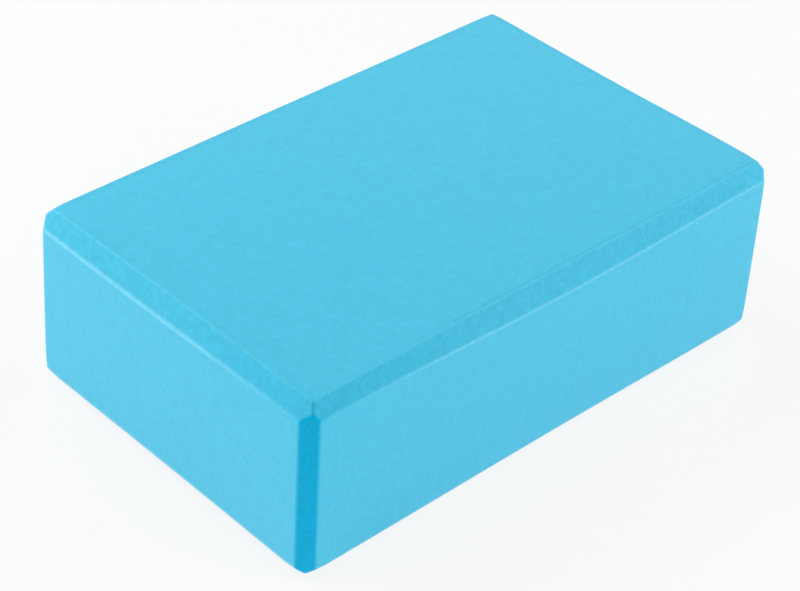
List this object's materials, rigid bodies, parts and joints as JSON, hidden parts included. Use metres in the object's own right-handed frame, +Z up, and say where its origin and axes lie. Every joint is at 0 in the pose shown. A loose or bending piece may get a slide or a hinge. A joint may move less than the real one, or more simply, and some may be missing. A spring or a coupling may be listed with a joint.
{
  "type": "foam block",
  "caption": "Solid brick of sky-blue closed-cell EVA foam with a bevel along every edge, used as a prop, spacer or support.",
  "frame": {"origin": "middle of the large face that the block rests on", "axes": "+X along the block's length, +Y across its width, +Z up through its thickness"},
  "size_m": [0.23, 0.15, 0.076],
  "materials": {
    "foam": "closed-cell EVA foam, matt, sliced faces with a fine grain and slightly deeper-coloured routed bevels"
  },
  "bodies": {
    "root": {"foam_block": "foam"}
  },
  "joints": []
}
